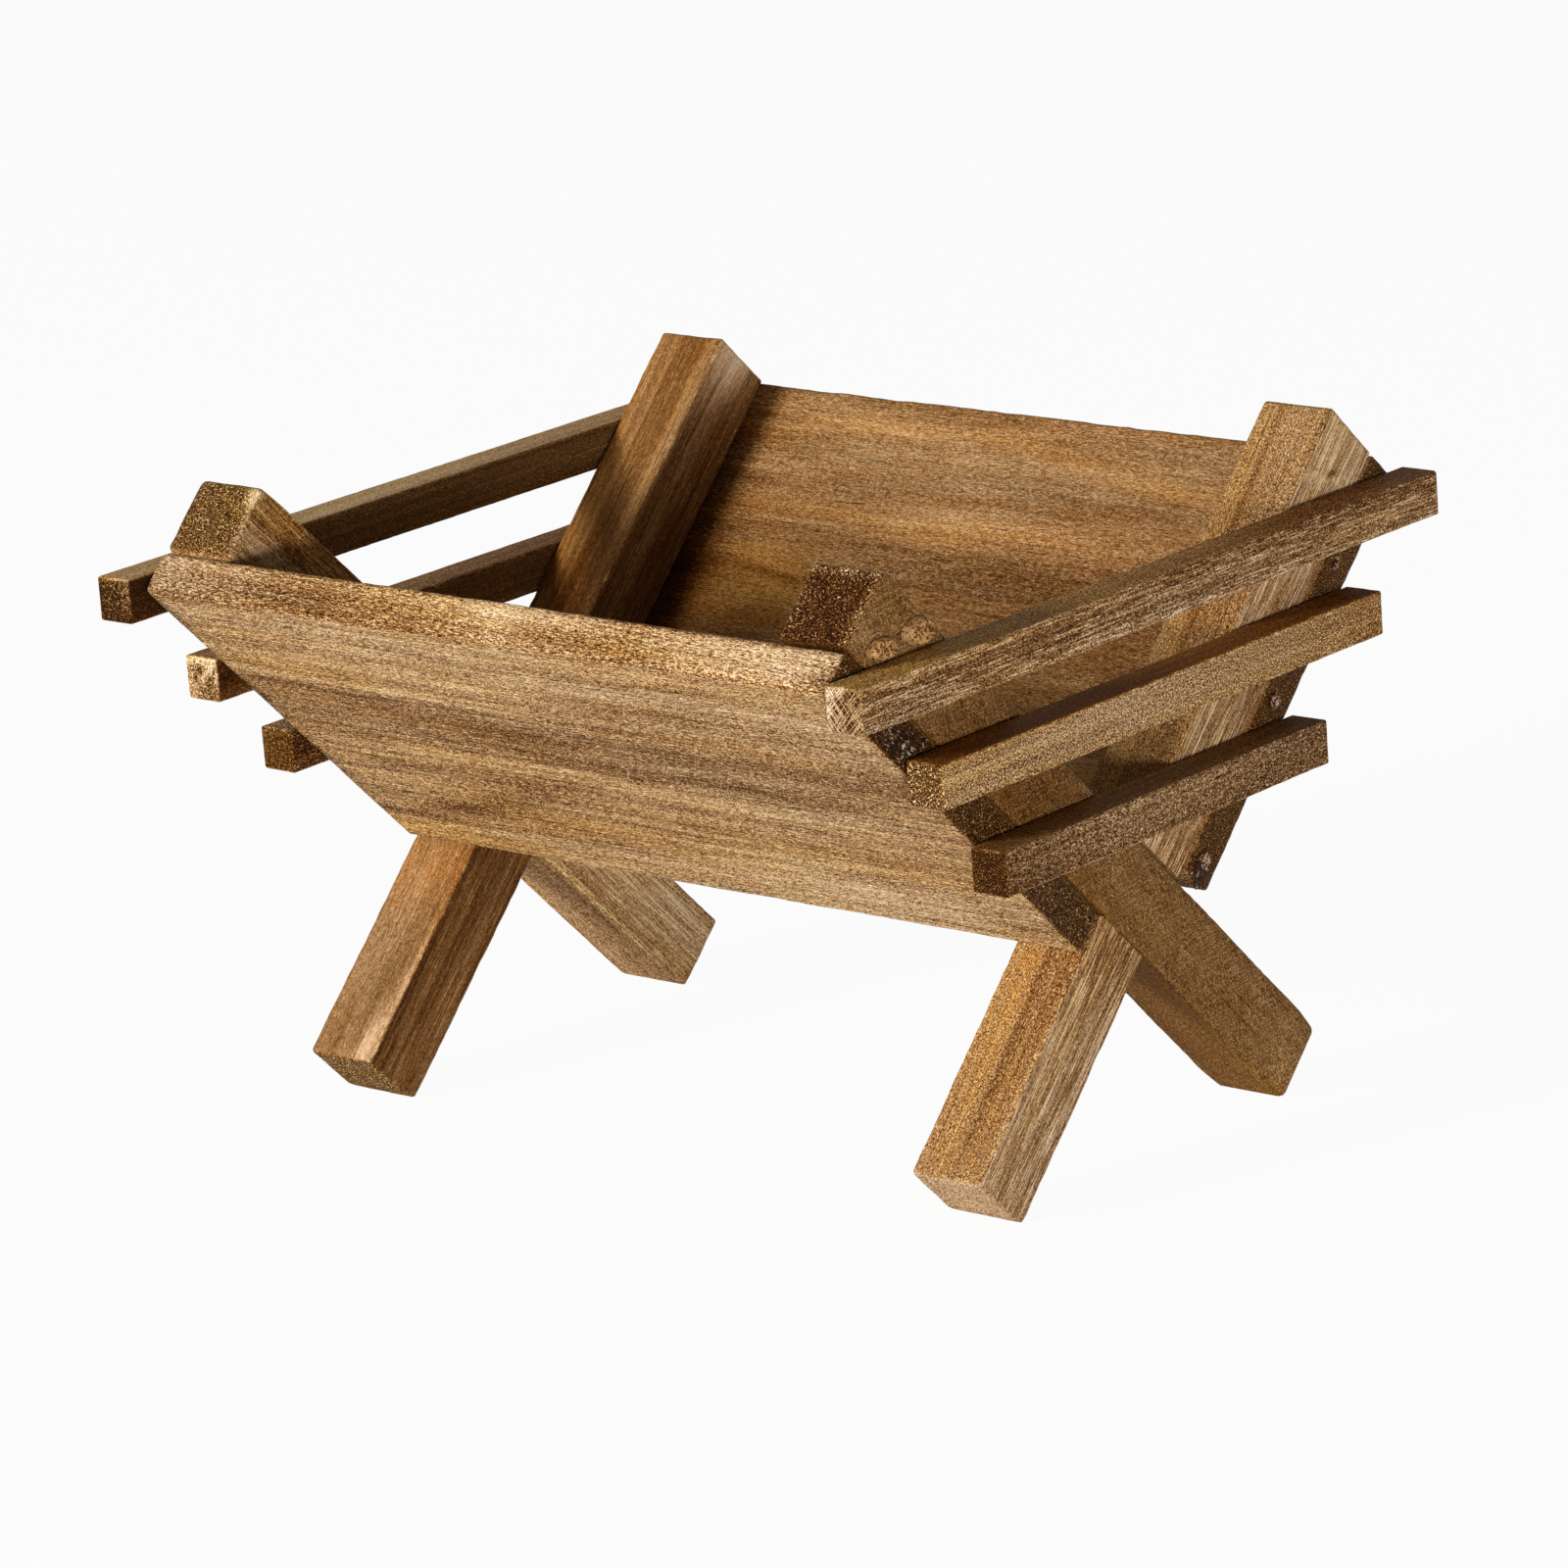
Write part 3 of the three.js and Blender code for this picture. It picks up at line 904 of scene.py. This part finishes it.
SLAT_LOOK = {
    "step": (1.5, 1.5, 1.1),
    "long_axis": 2,
    "arris": 0.42,
    "end_arris": 0.3,
    "worn": 1.0,
    "grit": 0.95,
    "felt": 0.35,
    "flecks": 0.1,
}
SLATS = {
    "slat_right_top": dict(
        seed=21,
        tones={"+x": -0.10, "-y": 0.05, "-z": -0.19},
        warmth=-0.15,
        warmths={"-y": 0.5, "-z": -0.5},
        gritty={"+x": 0.7, "-y": 0.75},
        flecked={"-y": 0.25},
        streaks={"+x": 0.75},
        hatch={"-z": 1.2},
        spots=[
            spot("-z", (-2.6, -1.0), (1.0, 3.4), 0.36, -0.5),
            spot("-z", (-1.0, -2.8), (1.4, 0.9), 0.25, -0.5),
            spot("-y", (0.0, -50.0), (5.0, 12.0), 0.04, 0.2),
            spot("+x", (0.8, -52.0), (5.0, 12.0), 0.03, -0.4),
            # Painted shade: darkens the upper side over its back half
            spot("-y", (0.0, 38.0), (5.0, 34.0), -0.31, 0.3),
        ],
    ),
    "slat_right_middle": dict(
        seed=22,
        tones={"+x": 0.02, "-y": -0.17, "-z": -0.33},
        gritty={"-y": 0.4},
        warmth=0.1,
        warmths={"-y": 1.1, "-z": 0.0},
        coarse={"-z": 1.5},
        spots=[spot("+x", (0.0, 52.0), (5.0, 16.0), -0.1, 0.4)],
    ),
    "slat_right_bottom": dict(
        seed=23,
        tones={"+x": -0.18, "-y": -0.16, "-z": -0.46},
        gritty={"-y": 0.4},
        spots=[spot("+x", (0.0, -40.0), (5.0, 22.0), -0.13)],
        warmth=-0.4,
        grit=0.8,
        warmths={"-y": 0.0, "-z": 0.5},
        coarse={"-z": 0.6},
    ),
    # The left slats' +x sides face into the trough: their low +x tones are partly painted shade
    "slat_left_top": dict(
        seed=24,
        tones={"+x": -0.17, "-y": 0.2, "-z": -0.52},
        olive={"+x": 0.6},
        gritty={"+x": 0.35, "-y": 0.5},
        warmths={"-z": 0.4},
        coarse={"-z": 0.9},
        worn=0.5,
        spots=[
            spot("-z", (0.8, -2.9), (3.0, 0.3), 0.5, -0.6),
            spot("-z", (2.8, -0.6), (0.3, 2.8), 0.35, -0.6),
            spot("-z", (1.4, -1.0), (1.4, 1.8), 0.06, -0.3, coarse=0.7),
            # Painted shadow on the +x side near its front end
            spot("+x", (0.0, -58.0), (9.0, 13.0), -0.27, -0.7),
        ],
    ),
    "slat_left_middle": dict(
        seed=25,
        tones={"+x": -0.12, "-y": -0.05, "-z": -0.25},
        gritty={"+x": 0.25, "-y": 0.5},
        coarse={"-z": 0.9},
        spots=[
            # Painted shadow on the +x side near its front end
            spot("+x", (0.0, -56.0), (9.0, 16.0), -0.45, -0.3),
            spot("-z", (0.3, 0.0), (2.6, 0.4), 0.6, -0.3, slope=-1.3),
            spot("-z", (0.0, -2.8), (3.4, 0.4), 0.6, -0.3),
            spot("-z", (2.8, 0.0), (0.3, 3.0), 0.4, -0.3),
            spot("-z", (-2.8, 0.4), (0.3, 3.4), 0.4, -0.3),
            spot("-z", (-1.4, 1.8), (1.4, 1.2), 0.24, -0.2),
        ],
    ),
    "slat_left_bottom": dict(
        seed=26,
        tones={"+x": -0.42, "-y": -0.1, "-z": -0.36},
        warmths={"-z": 0.75},
        coarse={"-z": 0.6},
    ),
}

for node, own in SLATS.items():
    look = dict(SLAT_LOOK, pith=(own["seed"] * 1.3, 6.0, own["seed"] * 7.0), **own)
    block_piece(node, TURNS["slat"], look, slat_wood)


# Glue

# How far a lump's outline follows its polygon rather than a circle, and how far it strays from that
FACETED = 0.6
UNEVEN = 0.17

# How far a smear's edge lies under the sawn end
SMEAR_SINK = 0.12


def lump_mesh(name, size, seed, shape):
    """A lump that bulges from the origin towards +X over a rough polygon. Its size is its height and its
    half widths, and its shape is its corners, flatness and ripple. The mark rim is 0 in its middle and 1
    at its edge."""
    corners, flatness, ripple = shape
    rings, around = 12, 48
    points, rims = [(1 - ripple, 0.0, 0.0)], [0.0]
    for ring in range(1, rings + 1):
        share = ring / rings
        for k in range(around):
            turn = 2 * math.pi * k / around
            side = math.pi / corners
            facet = math.cos(side) / math.cos((turn + seed) % (2 * side) - side)
            uneven = noise.noise(Vector((math.cos(turn) * 2.2, math.sin(turn) * 2.2, seed * 1.3)))
            reach = share * (1 - FACETED + FACETED * facet) * (1 - UNEVEN * (1 + uneven))
            y, z = reach * math.cos(turn), reach * math.sin(turn)
            dent = ripple * (1 + noise.noise(Vector((y * 2.6, z * 2.6, seed * 3.0))))
            points.append(((1 - share ** flatness) ** 0.5 * (1 - dent), y, z))
            rims.append(share)
    back = len(points)
    points.append((0.0, 0.0, 0.0))
    rims.append(1.0)
    faces = [(0, 1 + k, 1 + (k + 1) % around) for k in range(around)]
    for ring in range(rings - 1):
        first, second = 1 + ring * around, 1 + (ring + 1) * around
        for k in range(around):
            after = (k + 1) % around
            faces.append((first + k, second + k, second + after, first + after))
    last = 1 + (rings - 1) * around
    faces += [(back, last + (k + 1) % around, last + k) for k in range(around)]
    points = np.array(points) * size
    mesh = mesh_of(name, points, faces)
    put_mark(mesh, "rim", rims)
    put_mark(mesh, "grain", points + seed * 3.0, "FLOAT_VECTOR")
    return mesh


def glue_lump(node, seed, material, slot, shape):
    """A lump of glue in the place of a CAD node."""
    low, high = (np.array(c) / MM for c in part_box(node))
    size = np.array([high[0] - low[0], (high[1] - low[1]) / 2, (high[2] - low[2]) / 2])
    foot = Vector((low[0], (low[1] + high[1]) / 2, (low[2] + high[2]) / 2)) * MM
    mesh = lump_mesh(node, size, seed, shape)
    piece = new_piece(node + "_lump", mesh, Matrix.Translation(foot), material)
    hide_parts(node)


def glue_smear(half, at, size, tilt, seed, shape):
    """A thin dark smear on the right end of a board. Place and tilt are in the board's own directions."""
    name = "glue_smear_" + half + "_board"
    turn = TURNS[half]
    low, high = turned_box(half + "_board", turn)
    middle = (low + high) / 2
    place = Matrix.Translation(Vector((high[0] - SMEAR_SINK, middle[1] + at[0], middle[2] + at[1])) * MM)
    place = Matrix.Rotation(turn, 4, "X") @ place @ Matrix.Rotation(math.radians(tilt), 4, "X")
    new_piece(name, lump_mesh(name, np.array(size), seed, shape), place, dark_glue)


# Each lump's seed, finish, slot and shape
GLUE = {
    "glue_bead_leg_front": (3, tan_glue, "tan_glue", (5, 8.0, 0.16)),
    "glue_bead_leg_back": (8, tan_glue, "tan_glue", (6, 8.0, 0.16)),
    "glue_dab_front_board_large": (5, dark_glue, "dark_glue", (4, 3.0, 0.42)),
    "glue_dab_front_board_small": (6, dark_glue, "dark_glue", (5, 3.0, 0.40)),
    "glue_dab_back_board_top": (7, milky_glue, "dark_glue", (4, 3.0, 0.42)),
    "glue_dab_back_board_middle": (9, milky_glue, "dark_glue", (5, 3.0, 0.42)),
    "glue_dab_back_board_bottom": (11, milky_glue, "dark_glue", (5, 3.0, 0.42)),
}
for node, lump in GLUE.items():
    glue_lump(node, *lump)

glue_smear("front", at=(-0.4, 16.8), size=(0.4, 2.7, 4.2), tilt=8, seed=4, shape=(5, 3.0, 0.35))
glue_smear("back", at=(0.2, -31.6), size=(0.4, 2.6, 2.4), tilt=0, seed=12, shape=(6, 3.0, 0.30))


# Floor, light and camera

# How near to white the camera sees the floor
FLOOR_GLOW = 0.95


def floor_finish():
    """A pale floor that the camera sees nearly white, with the manger's shadow on it."""
    finish = Finish("pale floor", bpy.data.materials)
    seen = finish.seen_directly()
    plain = finish.node("ShaderNodeBsdfDiffuse", None, {"Color": (0.8, 0.8, 0.8, 1.0)})
    glow = finish.node("ShaderNodeEmission", None, {"Color": (1.0, 1.0, 1.0, 1.0), "Strength": 1.0})
    mixed = finish.node("ShaderNodeMixShader", None, (seen * FLOOR_GLOW, plain, glow))
    finish.node("ShaderNodeOutputMaterial", None, {"Surface": mixed})
    return finish.datablock


FLOOR_HALF = 4.0
floor_corners = [(x * FLOOR_HALF, y * FLOOR_HALF, 0) for x, y in ((-1, -1), (1, -1), (1, 1), (-1, 1))]
floor_mesh = bpy.data.meshes.new("floor")
floor_mesh.from_pydata(floor_corners, [], [(0, 1, 2, 3)])
floor = bpy.data.objects.new("floor", floor_mesh)
floor_mesh.materials.append(floor_finish())
bpy.context.scene.collection.objects.link(floor)


def studio_world():
    """A dim warm room for the light, and a white one for the eye."""
    room = Finish("studio", bpy.data.worlds)
    dim = room.node("ShaderNodeBackground", None, {"Color": (1.0, 0.91, 0.78, 1.0), "Strength": 0.13})
    bright = room.node("ShaderNodeBackground", None, {"Color": (1.0, 1.0, 1.0, 1.0), "Strength": 1.0})
    mixed = room.node("ShaderNodeMixShader", None, (room.seen_directly(), dim, bright))
    room.node("ShaderNodeOutputWorld", None, {"Surface": mixed})
    return room.datablock


bpy.context.scene.world = studio_world()

# The height that the lamps face
LAMP_AIM = Vector((0, 0, 0.045))


def softbox(name, towards, distance, width, height, power, colour):
    """A lamp that faces the manger's middle from the given direction."""
    light = bpy.data.lights.new(name, "AREA")
    light.shape = "RECTANGLE"
    light.size = width
    light.size_y = height
    light.energy = power
    light.color = colour
    lamp = bpy.data.objects.new(name, light)
    bpy.context.scene.collection.objects.link(lamp)
    direction = Vector(towards).normalized()
    lamp.location = direction * distance + LAMP_AIM
    lamp.rotation_mode = "QUATERNION"
    lamp.rotation_quaternion = (-direction).to_track_quat("-Z", "Y")


softbox(
    "key",
    (-0.36, -0.89, 0.29),
    distance=1.2,
    width=0.26,
    height=0.26,
    power=14.2,
    colour=(1.0, 0.95, 0.88),
)
softbox(
    "low right fill",
    (0.82, -0.57, 0.03),
    distance=1.3,
    width=0.9,
    height=0.16,
    power=12.4,
    colour=(1.0, 0.94, 0.88),
)

# The camera's place and directions come from the fit to the photograph
camera_data = bpy.data.cameras.new("camera")
camera_data.sensor_width = 36.0
camera_data.lens = 170.01
camera_data.clip_start = 0.05
camera_data.clip_end = 20.0
camera = bpy.data.objects.new("camera", camera_data)
bpy.context.scene.collection.objects.link(camera)
right = Vector((0.76276632, 0.64288776, -0.06987752))
up = Vector((-0.12424785, 0.25173848, 0.95978654))
back = Vector((0.63462588, -0.72341072, 0.27189506))
place = Vector((0.642282, -0.733393, 0.319713))
camera.matrix_world = Matrix.Translation(place) @ Matrix((right, up, back)).transposed().to_4x4()
bpy.context.scene.camera = camera
bpy.context.scene.view_settings.view_transform = "Standard"
